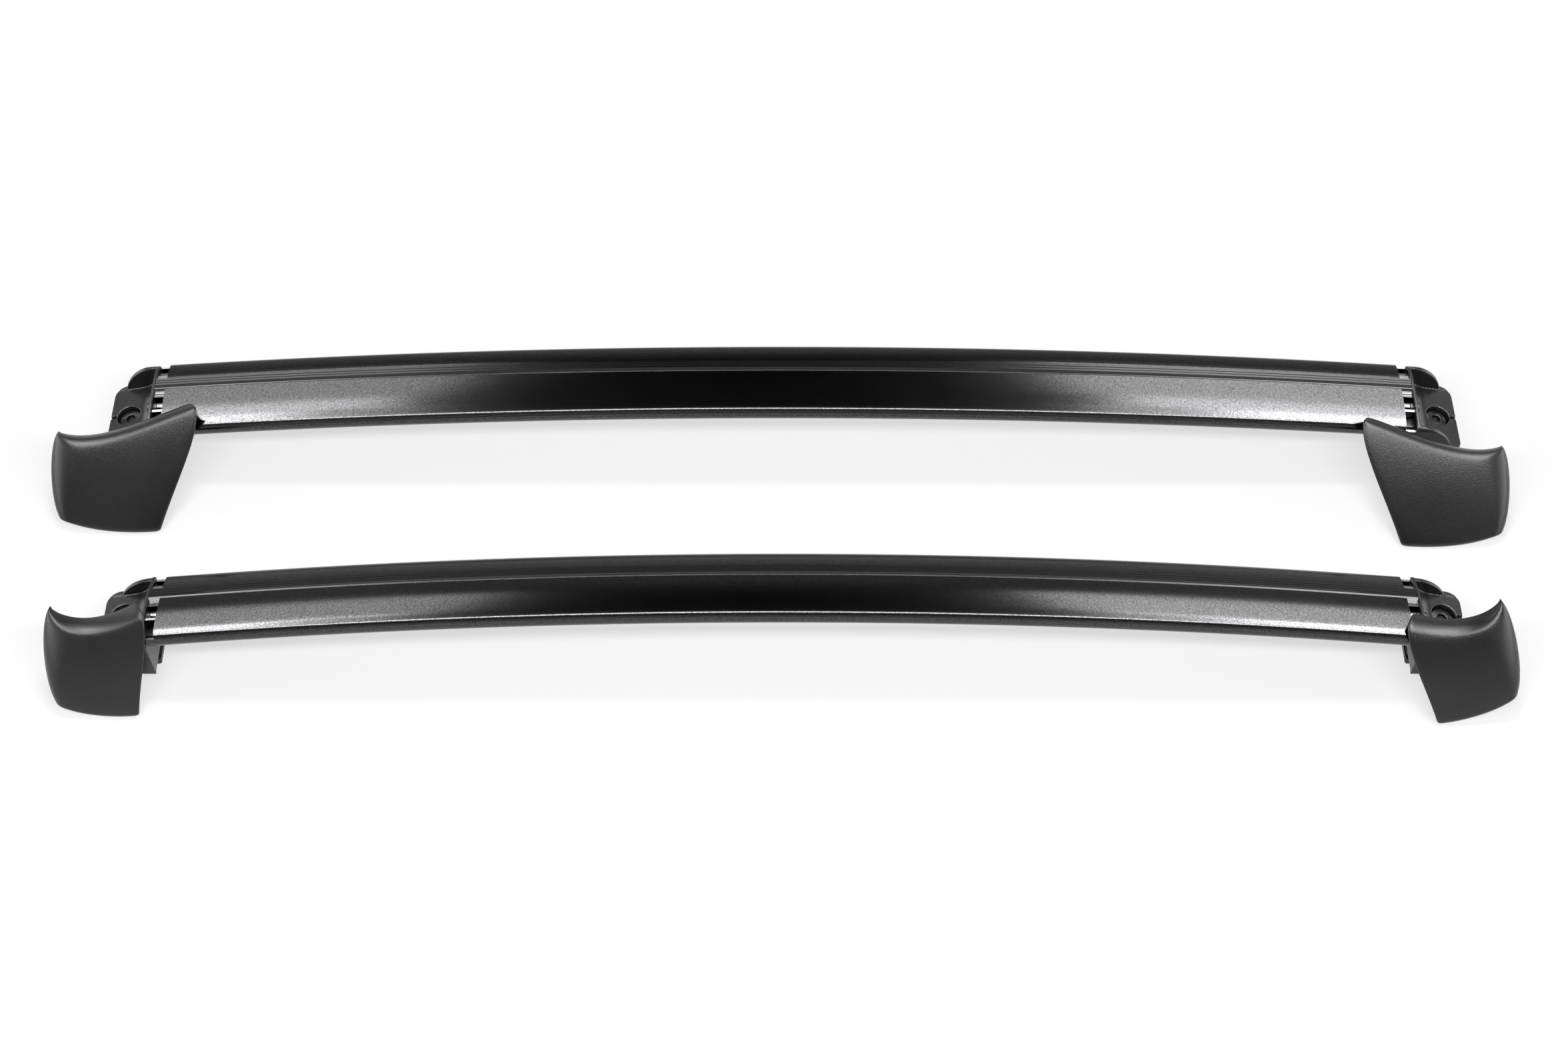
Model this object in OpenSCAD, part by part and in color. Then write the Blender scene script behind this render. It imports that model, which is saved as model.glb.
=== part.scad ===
// Pair of arched roof cross bars with four clamping feet and their four loose end covers.
// Millimetres. X runs along the bars, Y from the front bar to the rear bar, Z up from the table.

/* [Wing section] */
// Depth of the section from its nose to its far edge
chord = 64.8; // [60:0.2:76]
// Height of the section from crest to belly
section_h = 20; // [18.5:0.5:24]
// Radius of the rounded nose and of the far edge
edge_r = 7; // [5:0.25:8]
// Depth of the nose centre below the crest
nose_drop = 9.5; // [8.5:0.25:10.5]
// Depth of the far edge's centre below the crest
far_drop = 9; // [8.5:0.25:10.5]
// Distance from the nose to where the near face becomes level
near_crest = 30; // [24:0.5:32]
// Distance from the far edge to where the far face becomes level
far_crest = 21.8; // [18:0.2:22.5]
// Distance from the nose to the lowest line of the belly
belly_x = 30; // [24:0.5:36]
// Thickness of the outer wall
wall = 2; // [1.4:0.1:2.1]
// Thickness of the webs inside
web = 1.8; // [1.2:0.1:2.2]
// Distance from the nose to the upright web between the near chamber and the screw port
near_web_x = 17; // [14:0.5:18]

/* [Slot and strip] */
// Distance from the far edge to the middle of the slot
slot_x = 24.3; // [23.8:0.1:26]
// Width of the slot's mouth
mouth_w = 10.5; // [8:0.25:11]
// Thickness of the lips over the slot
lip_t = 3.4; // [2.8:0.1:3.8]
// Width of the slot under the lips
cavity_w = 18; // [16:0.25:18.5]
// Height of the slot under the lips
cavity_h = 5.2; // [4:0.1:5.6]
// Free space between the rubber strip and the slot on each side
strip_gap = 0.15; // [0.05:0.05:0.3]
// Height of the strip's bead above the crest
bead_h = 0.6; // [0.3:0.1:1]
// Height of the strip's flat top above the crest
strip_up = 0.2; // [0.1:0.05:0.5]
// Width of each fine groove along the strip
groove_w = 0.7; // [0.4:0.1:0.9]
// Depth of those grooves
groove_t = 0.35; // [0.2:0.05:0.6]
// Width of the strip's foot under the lips
strip_foot_w = 14.5; // [13:0.25:15.5]
// Thickness of the strip's foot
strip_foot_t = 1.6; // [1.2:0.1:2.5]
// Number of fine grooves along the strip
groove_n = 3; // [2:1:4]

/* [Bar lengths and arch] */
// Half the length of the rear bar's skin
rear_half = 447.5; // [400:0.5:500]
// Half the length of the front bar's skin
front_half = 425.3; // [380:0.1:480]
// Rise of the rear bar's crest over its half length
rear_rise = 19.4; // [14:0.2:24]
// Rise of the front bar's crest over its half length
front_rise = 20.6; // [14:0.2:24]
// Length at each end over which the skin is milled away
milled_l = 8; // [6:0.5:12]
// Depth of the milling below the skin
milled_t = 2.3; // [2.2:0.1:2.8]
// Width of the raw land left beside the slot by the milling
land_w = 2.7; // [2.2:0.1:2.9]
// Width of the groove milled beside that land
wide_groove_w = 1; // [0.8:0.1:1.2]
// Width of the narrow ridge between the two grooves
ridge_w = 0.7; // [0.5:0.1:0.9]
// Width of the second, finer groove
fine_groove_w = 0.5; // [0.3:0.1:0.6]
// Length by which the screw port stops short of the bracket
port_back = 3; // [2:0.5:5]

/* [Placing on the table] */
// Height of both sections' middle above the table at mid length
bar_z = 70; // [66:0.5:80]
// Distance between the two bars' section middles
bar_pitch_y = 190; // [170:1:260]
// Distance from the origin to the rear bar's section middle
rear_y = 111; // [100:0.5:130]
// Tilt of the front bar, nose up, in degrees
front_tilt = 11.5; // [8:0.5:13]

/* [Foot] */
// Length of a foot from the bar's end to its outer edge
foot_l = 37.2; // [35:0.2:39]
// Distance from the bar's end to the clamp bolt
bolt_x = 23.4; // [23:0.1:24]
// Height of the bolt plate above the table at the bolt
plate_z = 33.8; // [32:0.2:38]
// Outward slope of the bolt plate in degrees
plate_tilt = 12; // [8:0.5:14]
// Thickness of the wall against the bar's end
web_t = 3.2; // [2.6:0.1:4]
// Radius of the hollow blend from that wall to the plate
blend_r = 15; // [10:0.5:16]
// Thickness of the two side flanges
flange_t = 4.6; // [3.5:0.1:6]
// Radius of the flanges' rounded shoulder
shoulder_r = 28.5; // [26:0.5:29.5]
// Distance from the bar's end to the middle of that shoulder
shoulder_x = 0.8; // [0:0.1:2]
// Height of the shoulder above the section's middle
shoulder_up = 5.5; // [4:0.25:7]
// Height of the low rim along both sides of the plate
rim_up = 0.4; // [0.2:0.1:0.8]
// Corner radius of the plate in plan
plate_r = 10; // [8:0.5:14]
// Height of the bracket's underside above the table
seat_z = 21; // [19.5:0.25:22]
// Thickness of the bracket's roof over its hollow underside
roof_t = 4; // [3:0.25:5]
// Radius of the solid boss round the bolt
boss_r = 12; // [10.5:0.25:13]
// Offset of the rear bolts from the section's middle
rear_bolt_y = 1.2; // [-4:0.1:12]
// Offset of the front bolts from the section's middle
front_bolt_y = 10.4; // [0:0.1:12]
// Width of the small slot in the plate's edge
notch_w = 2.4; // [1.6:0.2:4]
// Depth of that slot
notch_d = 3.6; // [2:0.1:4]
// Height of that slot
notch_t = 3; // [2:0.25:5]

/* [Clamp] */
// Diameter of the clamp bolt's shank
bolt_d = 8; // [6:0.5:9]
// Clearance round the bolt in its hole
bolt_gap = 0.25; // [0.1:0.05:0.5]
// Diameter of the bolt's flat head
head_d = 16; // [14:0.25:16.5]
// Thickness of the bolt's head
head_t = 3.6; // [3:0.1:4.5]
// Width of the six-sided socket across its corners
socket_d = 7.6; // [6:0.2:8.4]
// Depth of the socket in the head
socket_t = 2.8; // [2:0.1:2.9]
// Diameter of the small locating dimple in the head
dimple_d = 1.8; // [1:0.1:2.2]
// Depth of that dimple
dimple_t = 0.8; // [0.4:0.1:1.6]
// Diameter of the counterbore
counterbore_d = 17.5; // [17:0.25:20]
// Depth of the counterbore
counterbore_t = 9; // [8:0.25:9.5]
// Thickness of the washer under the head
washer_t = 1.6; // [1:0.1:2.5]
// Depth of the nut's underside below the plate, along the bolt
nut_drop = 27.5; // [26.5:0.25:28]
// Length by which the bolt stands out below the nut
bolt_past = 2.7; // [1:0.1:3]
// Height of the clamp nut
nut_h = 6.5; // [5:0.25:7]
// Width of the clamp nut across its flats
nut_w = 13; // [12:0.5:14]
// Width of the clamp jaw along the rail
jaw_w = 34; // [28:0.5:38]
// Distance from the bar's end to the jaw's upright body
jaw_x = 8.2; // [7.8:0.1:8.4]
// Distance by which the jaw stands back from the foot's outer edge
jaw_in = 1; // [0.5:0.25:2]
// Bevel along the jaw's outer foot
jaw_bevel = 3; // [1:0.5:4]
// Thickness of the jaw's toe
toe_t = 6; // [4.5:0.25:7.5]
// Length of the toe under the rail
toe_l = 9; // [8:0.5:11]
// Bevel of the toe's tip, and of the corner between toe and jaw
toe_bevel = 1.5; // [0.5:0.25:2]
// Thickness of the rubber pad under the bracket
pad_t = 3; // [2:0.25:4]
// Length of that pad along the bar
pad_l = 6.8; // [5:0.2:7.4]
// Thickness of the rubber on the toe
toe_pad_t = 1.2; // [0.8:0.1:2]
// Length of that rubber along the bar
toe_pad_l = 6; // [4:0.2:6.4]
// Distance by which both rubbers stand back from the edges across the bar
pad_in = 3; // [1:0.5:6]
// Free space between a rubber and the jaw
pad_free = 0.6; // [0.4:0.1:1]
// Gap between two pieces that seat on each other
seat_gap = 0.1; // [0.05:0.05:0.3]
// Joint between a bracket and the bar's end
joint_gap = 0.02; // [0.01:0.01:0.1]

/* [Bracket screw] */
// Diameter of the screw that holds a bracket to its bar
screw_d = 4.8; // [3.5:0.1:5]
// Clearance between the screw and its port
port_gap = 0.1; // [0.05:0.05:0.2]
// Wall round the screw port
port_t = 1.1; // [0.9:0.1:1.3]
// Length of the screw under its head
screw_l = 22; // [16:1:30]
// Diameter of the screw's head
screw_head_d = 8; // [7.5:0.1:8.4]
// Thickness of the screw's head
screw_head_t = 2.2; // [2:0.1:3.2]
// Width of the six-sided socket in the screw's head
screw_socket_d = 3.6; // [3:0.1:4]
// Depth of that socket
screw_socket_t = 1.4; // [1:0.1:1.6]
// Diameter of the spot-face cut for the screw's head
spot_d = 9.4; // [9:0.1:10]
// Distance from the bar's end to the spot-face
spot_x = 2.2; // [1.8:0.1:3]
// Distance from the nose to the screw port
port_x = 23.4; // [22.8:0.1:24]
// Depth of the screw port below the crest
port_drop = 6.6; // [6.2:0.1:8]
// Length of the bracket's tongues inside the bar
tongue_l = 18; // [10:1:28]
// Thickness of the tongues
tongue_t = 4.5; // [3:0.25:4.5]
// Free space round the tongues
tongue_gap = 0.4; // [0.2:0.05:0.8]

/* [Covers] */
// Wall thickness of the moulded covers
cover_t = 2.6; // [2:0.1:3]
// Length of a rear cover
rear_cover_l = 104; // [95:1:120]
// Height of a rear cover along its inner edge
rear_cover_h = 94.3; // [86:0.1:100]
// Height of a rear cover at its outer tip
rear_tip_h = 72; // [66:0.5:78]
// Distance by which a rear cover's inner edge runs out on its way down
rear_lean_in = 31; // [28:0.5:33]
// Dip of a rear cover's rim before its tip
rear_dip = 10; // [6:0.5:12]
// Length of a front cover
front_cover_l = 67; // [62:1:80]
// Height of a front cover along its inner edge
front_cover_h = 82.9; // [76:0.1:88]
// Height of a front cover at its outer tip
front_tip_h = 78; // [72:0.5:82]
// Distance by which a front cover's inner edge runs out on its way down
front_lean_in = 10; // [8:0.5:12]
// Dip of a front cover's rim before its tip
front_dip = 15; // [10:0.5:17]
// Distance from a cover's inner edge to where its rim begins
corner_in = 2.5; // [1:0.25:4]
// Distance by which the rim's inner end is cut back over its depth
corner_cut = 5.5; // [3:0.25:7]
// Sag of a rim beside its inner end
rim_sag = 10.7; // [8:0.1:12]
// Sag of the hem beside its inner end
hem_sag = 1.4; // [0.5:0.1:2]
// Height of the hem's inner corner
hem_in_h = 0.5; // [0.2:0.1:1]
// Height of the hem's outer corner
hem_out_h = 10; // [7:0.5:12]
// Bow of the inner edge toward the bar
inner_bow = 7; // [5:0.5:9]
// Bow of the outer edge
outer_bow = 7; // [5:0.5:9]
// Radius of the rolled rim along the top
rim_r = 11; // [8:0.5:12]
// Height of the thin lip behind the hem's roll
hem_skirt = 1.2; // [0.8:0.1:3]
// Depth of the rim's wall
rim_depth = 14; // [12:0.5:14.5]
// Radius of the roll along the bottom edge
hem_r = 3.2; // [2.8:0.1:4]
// Length of the rounded outer end at the rim
end_r = 26; // [20:1:30]
// Length of the rounded outer end at the hem
end_low_r = 9; // [8:0.5:12]
// Depth of the outer end at the rim
end_t = 13; // [11:0.5:15]
// Depth of the outer end at the hem
end_low_t = 7; // [5:0.5:9]
// Bulge of a rear cover's main face
rear_bulge = 3; // [1:0.25:3.5]
// Bulge of a front cover's main face
front_bulge = 7; // [5:0.25:8]
// Lean of the rear left cover from upright in degrees
rear_left_lean = 38; // [36:0.5:38]
// Lean of the rear right cover from upright in degrees
rear_right_lean = 42.3; // [38:0.1:42.5]
// Lean of the front left cover from upright in degrees
front_left_lean = 26.5; // [24:0.5:28]
// Lean of the front right cover from upright in degrees
front_right_lean = 28.7; // [26:0.1:28.9]
// Space between a cover's lowest point and the table
rest_gap = 0.02; // [0.01:0.01:0.1]
// Turn of the front right cover in its own plane in degrees
front_right_turn = 13; // [0:0.5:16]
// Distance from the rear bar's end in to the left cover's inner edge
rear_left_in = 37.1; // [30:0.1:44]
// Distance from the rear bar's end in to the right cover's inner edge
rear_right_in = 42.6; // [36:0.1:48]
// Distance from the front bar's end in to the left cover's inner edge
front_left_in = 1.8; // [-2:0.1:4]
// Distance from the front bar's end out to the right cover's inner edge
front_right_past = 5.1; // [4:0.1:8]
// Distance from the rear bar's middle to the rear left cover's bottom edge
rear_left_out = 85; // [84:0.2:100]
// Distance from the rear bar's middle to the rear right cover's bottom edge
rear_right_out = 98.6; // [98:0.2:110]
// Distance from the front bar's middle to the front left cover's bottom edge
front_left_out = 59; // [58:0.2:70]
// Distance from the front bar's middle to the front right cover's bottom edge
front_right_out = 66.6; // [62:0.2:80]

/* [Hidden] */
$fn = 96;
big = 400;
mid_drop = section_h / 2;
bars = ["rear", "front"];
sides = ["left", "right"];
foot_parts = ["bracket", "bracket_screw", "clamp_bolt", "bolt_washer", "clamp_jaw", "clamp_nut",
    "rail_pad", "toe_pad", "end_cover"];

paint = [0.09, 0.09, 0.1];
rubber = [0.2, 0.2, 0.21];
casting = [0.13, 0.13, 0.135];
steel = [0.3, 0.3, 0.31];
zinc = [0.62, 0.63, 0.65];
moulding = [0.17, 0.17, 0.18];

// Section geometry, with X from the nose and Y up from the crest

function arc(c, r, a0, a1, n) =
    [for (i = [0 : n]) c + r * [cos(a0 + (a1 - a0) * i / n), sin(a0 + (a1 - a0) * i / n)]];

// Radius of the circle that is level at distance dx and touches an edge circle of radius edge_r
function crown_r(dx, drop) = (dx * dx + drop * drop - edge_r * edge_r) / (2 * (drop - edge_r));

// Direction from a crown's centre to an edge circle's centre
function toward(from, to) = atan2(to.y - from.y, to.x - from.x);

// Straight pieces taken for each crown, edge and belly arc
crown_steps = 8;
edge_steps = 16;
belly_steps = 5;

nose_c = [edge_r, -nose_drop];
far_c = [chord - edge_r, -far_drop];
near_crown_r = crown_r(near_crest - edge_r, nose_drop);
far_crown_r = crown_r(far_crest - edge_r, far_drop);
near_belly_r = crown_r(belly_x - edge_r, section_h - nose_drop);
far_belly_r = crown_r(chord - belly_x - edge_r, section_h - far_drop);
near_crown_c = [near_crest, -near_crown_r];
far_crown_c = [chord - far_crest, -far_crown_r];
near_belly_c = [belly_x, near_belly_r - section_h];
far_belly_c = [belly_x, far_belly_r - section_h];

// Outline of the wing section, drawn inward by inset
function wing(inset = 0) = concat(
    arc(near_crown_c, near_crown_r - inset, 90, toward(near_crown_c, nose_c), crown_steps),
    arc(nose_c, edge_r - inset, toward(near_crown_c, nose_c),
        360 + toward(near_belly_c, nose_c), edge_steps),
    arc(near_belly_c, near_belly_r - inset, toward(near_belly_c, nose_c), -90, belly_steps),
    arc(far_belly_c, far_belly_r - inset, -90, toward(far_belly_c, far_c), belly_steps),
    arc(far_c, edge_r - inset, toward(far_belly_c, far_c), toward(far_crown_c, far_c),
        edge_steps),
    arc(far_crown_c, far_crown_r - inset, toward(far_crown_c, far_c), 90, crown_steps));

slot_c = chord - slot_x;
slot_box_w = cavity_w + 2 * web;
slot_floor = lip_t + cavity_h;
port_r = screw_d / 2 + port_gap;
port_c = [port_x, -port_drop];

module inner_webs() {
    translate([slot_c - slot_box_w / 2, -slot_floor - web])
        square([slot_box_w, slot_floor + web]);
    translate([near_web_x - web / 2, -section_h]) square([web, section_h]);
    translate([slot_c - web / 2, -section_h]) square([web, section_h]);
}

module screw_port() {
    translate(port_c) circle(r = port_r + port_t);
    translate([near_web_x, -port_drop - web / 2]) square([port_x - near_web_x, web]);
}

module slot_cut() {
    translate([slot_c - mouth_w / 2, -slot_floor]) square([mouth_w, slot_floor + big]);
    translate([slot_c - cavity_w / 2, -slot_floor]) square([cavity_w, cavity_h]);
}

// The bar's section with its chambers, slot and screw port
module section() {
    difference() {
        polygon(wing());
        difference() {
            polygon(wing(wall));
            inner_webs();
            screw_port();
        }
        slot_cut();
        translate(port_c) circle(r = port_r);
    }
}

// Length by which a cut runs past what it cuts, and by which one cut breaks into another
cut_past = 5;
through = 0.2;
// Height above the nose's centre at which the milling ends
milled_up = 2;

// What is milled off the ends: the skin above the nose, and two grooves beside the slot
module milled_off() {
    wide_x = slot_c - mouth_w / 2 - land_w - wide_groove_w;
    difference() {
        translate([-cut_past, milled_up - nose_drop])
            square([chord + 2 * cut_past, nose_drop + cut_past]);
        polygon(wing(milled_t));
    }
    translate([0, -lip_t - through]) {
        translate([wide_x, 0]) square([wide_groove_w, lip_t]);
        translate([wide_x - ridge_w - fine_groove_w, 0]) square([fine_groove_w, lip_t]);
    }
}

// What is milled off to set the screw port back from the end, clear of both webs
module port_off() {
    x0 = near_web_x + web / 2 + tongue_gap;
    translate([x0, -port_drop - port_r - port_t - tongue_gap])
        square([slot_c - slot_box_w / 2 - tongue_gap - x0, big]);
}

strip_w = mouth_w - 2 * strip_gap;
groove_pitch = (strip_w - 2 * bead_h) / (groove_n + 1);

module strip_section() {
    difference() {
        union() {
            translate([slot_c - strip_w / 2, -lip_t - strip_foot_t])
                square([strip_w, lip_t + strip_foot_t + strip_up]);
            translate([slot_c - strip_foot_w / 2, -lip_t - strip_gap - strip_foot_t])
                square([strip_foot_w, strip_foot_t]);
            translate([slot_c - strip_w / 2 + bead_h, 0]) circle(r = bead_h);
        }
        for (i = [1 : groove_n])
            translate([slot_c - strip_w / 2 + 2 * bead_h + i * groove_pitch, strip_up])
                square([groove_w, 2 * groove_t], center = true);
    }
}

// Arch geometry: each bar is its section swept round one large circle

function is_rear(b) = b == "rear";
function half_of(b) = is_rear(b) ? rear_half : front_half;
function rise_of(b) = is_rear(b) ? rear_rise : front_rise;
function tilt_of(b) = is_rear(b) ? 0 : front_tilt;
function y_of(b) = is_rear(b) ? rear_y : rear_y - bar_pitch_y;
function bolt_y_of(b) = is_rear(b) ? rear_bolt_y : front_bolt_y;

// Radius of the crest line
function arch_r(b) = (pow(half_of(b), 2) + pow(rise_of(b), 2)) / (2 * rise_of(b));
// Angles from the middle to the end of the skin, and over a length along the crest
function skin_deg(b) = asin(half_of(b) / arch_r(b));
function deg_of(b, length) = length / arch_r(b) * 180 / PI;
function end_deg(b) = skin_deg(b) + deg_of(b, milled_l);

// Sweeps a 2D section along a bar's arch, from angle a0 over a turn, both in degrees
module arched(b, a0, turn) {
    translate([0, 0, -arch_r(b)]) rotate([0, -90, -90]) rotate([0, 0, a0])
        rotate_extrude(angle = turn, $fn = 256)
            translate([arch_r(b), 0]) mirror([1, -1, 0]) children();
}

// Lays a 2D section along X, with its X to Y and its Y to Z
module run(length) {
    rotate([90, 0, 90]) linear_extrude(length) children();
}

// Moves a bar's own frame to its place above the table
module place(b) {
    translate([0, y_of(b), bar_z]) rotate([-tilt_of(b), 0, 0])
        translate([0, -chord / 2, mid_drop]) children();
}

module bar(b) {
    milled = deg_of(b, milled_l);
    back = deg_of(b, port_back);
    color(paint) place(b) difference() {
        arched(b, -end_deg(b), 2 * end_deg(b)) section();
        for (a = [-end_deg(b) - milled, skin_deg(b)]) arched(b, a, 2 * milled) milled_off();
        for (a = [-end_deg(b) - back, end_deg(b) - back]) arched(b, a, 2 * back) port_off();
    }
}

module slot_strip(b) {
    strip_deg = end_deg(b) - deg_of(b, seat_gap);
    color(rubber) place(b) arched(b, -strip_deg, 2 * strip_deg) strip_section();
}

// Feet are drawn at the right-hand end, in level axes about the section's middle at the bar's end

// Place of the section's middle at the end, in the bar's own frame
function end_mid(b) = (arch_r(b) - mid_drop) * [sin(end_deg(b)), cos(end_deg(b))]
    - [0, arch_r(b) - mid_drop];
function end_x(b) = end_mid(b).x;
function end_z(b) = bar_z + end_mid(b).y * cos(tilt_of(b));
function end_y(b) = y_of(b) + end_mid(b).y * sin(tilt_of(b));

module at_end(b, side) {
    mirror([side == "left" ? 1 : 0, 0, 0])
        translate([end_x(b), end_y(b), end_z(b)]) children();
}

// Turns level axes to the bar's own, with the section's outline at hand
module to_section(b) {
    rotate([-tilt_of(b), 0, 0]) rotate([0, end_deg(b), 0])
        translate([0, -chord / 2, mid_drop]) children();
}

function ground(b) = -end_z(b);
function plate_at(b, x) = ground(b) + plate_z - tan(plate_tilt) * (x - bolt_x);
function seat_of(b) = ground(b) + seat_z;

// Width of a foot, and depth by which its shape is drawn into the bar before it is cut off
foot_w = chord - 2;
bite = 6;
// Distance by which the foot's outline lies inside the bar's
skin_in = 0.4;

// Frame on the bolt plate with Z out along the bolt
module at_bolt(b) {
    translate([bolt_x, bolt_y_of(b), ground(b) + plate_z]) rotate([0, plate_tilt, 0]) children();
}

// Side view of the shoulder, in X and Z about the section's middle
module shoulder_side() {
    translate([shoulder_x, shoulder_up - shoulder_r]) circle(r = shoulder_r);
    translate([-big, shoulder_up - shoulder_r - big])
        square([big + shoulder_x + shoulder_r, big]);
}

// Side view of the web against the bar and of the plate, in X and Z
module foot_side(b) {
    translate([-bite, seat_of(b)]) square([bite + web_t, mid_drop + cut_past - seat_of(b)]);
    polygon([[-bite, seat_of(b)], [foot_l, seat_of(b)], [foot_l, plate_at(b, foot_l) + rim_up],
        [-bite, plate_at(b, -bite) + rim_up]]);
}

// Straight pieces taken for the hollow blend
blend_steps = 14;

// What is scooped out above the plate, in X and Z
module scoop_side(b) {
    x0 = web_t;
    c = [x0 + blend_r, plate_at(b, x0 + blend_r) + blend_r / cos(plate_tilt)];
    x1 = foot_l + cut_past;
    polygon(concat([[x0, big]], arc(c, blend_r, 180, 270 - plate_tilt, blend_steps),
        [[x1, plate_at(b, x1)], [x1, big]]));
}

// Stands a side view in X and Z up along Y, over the given width about the middle
module across(y0, y1) {
    translate([0, y1, 0]) rotate([90, 0, 0]) linear_extrude(y1 - y0) children();
}

module foot_plan() {
    translate([-bite, -foot_w / 2]) square([foot_l + bite - plate_r, foot_w]);
    translate([-bite, -foot_w / 2 + plate_r]) square([foot_l + bite, foot_w - 2 * plate_r]);
    for (s = [-1, 1])
        translate([foot_l - plate_r, s * (foot_w / 2 - plate_r)]) circle(r = plate_r);
}

// The bar's own outline carried outward and down to the foot's base
module foot_envelope(b) {
    to_section(b) translate([-bite, 0, 0]) run(foot_l + 2 * bite) polygon(wing(skin_in));
    translate([-bite, -foot_w / 2, seat_of(b)]) cube([foot_l + bite, foot_w, -seat_of(b)]);
}

module casting_shape(b) {
    difference() {
        intersection() {
            foot_envelope(b);
            union() {
                across(-chord, chord) foot_side(b);
                rotate([-tilt_of(b), 0, 0]) across(-chord, chord) shoulder_side();
            }
            translate([0, 0, seat_of(b)]) linear_extrude(big) foot_plan();
        }
        across(-chord / 2 + flange_t, chord / 2 - flange_t) scoop_side(b);
        hollow_underside(b);
    }
}

// The hollow between the outer walls, the roof under the plate and the bolt's boss
module hollow_underside(b) {
    inner = foot_w / 2 - flange_t;
    x0 = web_t + roof_t / 2;
    x1 = foot_l - roof_t;
    difference() {
        across(-inner, inner) polygon([[x0, seat_of(b) - 1], [x1, seat_of(b) - 1],
            [x1, plate_at(b, x1) - roof_t], [x0, plate_at(b, x0) - roof_t]]);
        at_bolt(b) translate([0, 0, -big / 2]) cylinder(r = boss_r, h = big);
    }
}

// Tongues that plug into the near and far chambers of the bar
module tongues(b) {
    near_w = near_web_x - web / 2 - tongue_gap - edge_r;
    far_x = slot_c + slot_box_w / 2 + tongue_gap;
    to_section(b) translate([-tongue_l, edge_r, -nose_drop - tongue_t])
        cube([tongue_l + 1, near_w, tongue_t]);
    to_section(b) translate([-tongue_l, far_x, -far_drop - tongue_t / 2])
        cube([tongue_l + 1, far_c.x - far_x, tongue_t]);
}

// Frame on the screw port at the bar's end, with Z out along the screw
module at_port(b) {
    to_section(b) translate([0, port_c.x, port_c.y]) rotate([0, 90, 0]) children();
}

module bracket(b, side) {
    color(casting) at_end(b, side) difference() {
        union() {
            difference() {
                casting_shape(b);
                to_section(b) translate([joint_gap - big, -big / 2, -big / 2]) cube(big);
            }
            tongues(b);
            at_port(b) translate([0, 0, seat_gap - port_back])
                cylinder(r = port_r + port_t, h = port_back + 1);
        }
        at_bolt(b) {
            translate([0, 0, -counterbore_t]) cylinder(d = counterbore_d, h = big);
            translate([0, 0, -big]) cylinder(d = bolt_d + 2 * bolt_gap, h = big + 1);
        }
        at_port(b) {
            translate([0, 0, -port_back - 1]) cylinder(r = port_r, h = big);
            translate([0, 0, spot_x]) cylinder(d = spot_d, h = big);
        }
        at_bolt(b) translate([(foot_l - bolt_x) / cos(plate_tilt) - notch_d, 0, -notch_t]) {
            cylinder(d = notch_w, h = 2 * notch_t);
            translate([0, -notch_w / 2, 0]) cube([big, notch_w, 2 * notch_t]);
        }
    }
}

module bracket_screw(b, side) {
    color(steel) at_end(b, side) at_port(b) translate([0, 0, spot_x + seat_gap]) difference() {
        union() {
            cylinder(d = screw_head_d, h = screw_head_t);
            translate([0, 0, -screw_l]) cylinder(d = screw_d, h = screw_l + 1);
        }
        translate([0, 0, screw_head_t - screw_socket_t])
            cylinder(d = screw_socket_d, h = screw_socket_t + 1, $fn = 6);
    }
}

head_z = -counterbore_t + washer_t + 2 * seat_gap;
// Length of the shank from under the head to just below the nut
shank_l = nut_drop + head_z + bolt_past;

module clamp_bolt(b, side) {
    color(steel) at_end(b, side) at_bolt(b) difference() {
        union() {
            translate([0, 0, head_z]) cylinder(d = head_d, h = head_t);
            translate([0, 0, head_z - shank_l]) cylinder(d = bolt_d, h = shank_l + 1);
        }
        translate([0, 0, head_z + head_t - socket_t]) cylinder(d = socket_d, h = socket_t + 1, $fn = 6);
        translate([(head_d + socket_d) / 4, 0, head_z + head_t - dimple_t])
            cylinder(d = dimple_d, h = dimple_t + 1);
    }
}

module bolt_washer(b, side) {
    color(zinc) at_end(b, side) at_bolt(b) translate([0, 0, -counterbore_t + seat_gap])
        difference() {
            cylinder(d = head_d, h = washer_t);
            translate([0, 0, -1]) cylinder(d = bolt_d + 2 * bolt_gap, h = washer_t + 2);
        }
}

// A hexagon's prism of width w across its flats, two of them facing along X
module hexagon(w, h) {
    rotate([0, 0, 30]) cylinder(d = w / cos(30), h = h, $fn = 6);
}

module clamp_jaw(b, side) {
    low = ground(b);
    top = seat_of(b) - seat_gap;
    x1 = foot_l - jaw_in;
    toe_x = jaw_x - toe_l;
    color(casting) at_end(b, side) difference() {
        across(bolt_y_of(b) - jaw_w / 2, bolt_y_of(b) + jaw_w / 2)
            polygon([[jaw_x, top], [x1, top], [x1, low + jaw_bevel], [x1 - jaw_bevel, low],
                [toe_x + toe_bevel, low], [toe_x, low + toe_bevel], [toe_x, low + toe_t],
                [jaw_x - toe_bevel, low + toe_t], [jaw_x, low + toe_t + toe_bevel]]);
        at_bolt(b) {
            translate([0, 0, -big]) cylinder(d = bolt_d + 2 * bolt_gap, h = big);
            translate([0, 0, -nut_drop - big]) hexagon(nut_w + 2 * seat_gap, nut_h + big);
        }
    }
}

module clamp_nut(b, side) {
    color(zinc) at_end(b, side) at_bolt(b) translate([0, 0, -nut_drop - seat_gap]) difference() {
        hexagon(nut_w, nut_h);
        translate([0, 0, -1]) cylinder(d = bolt_d + 2 * seat_gap, h = nut_h + 2);
    }
}

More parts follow.
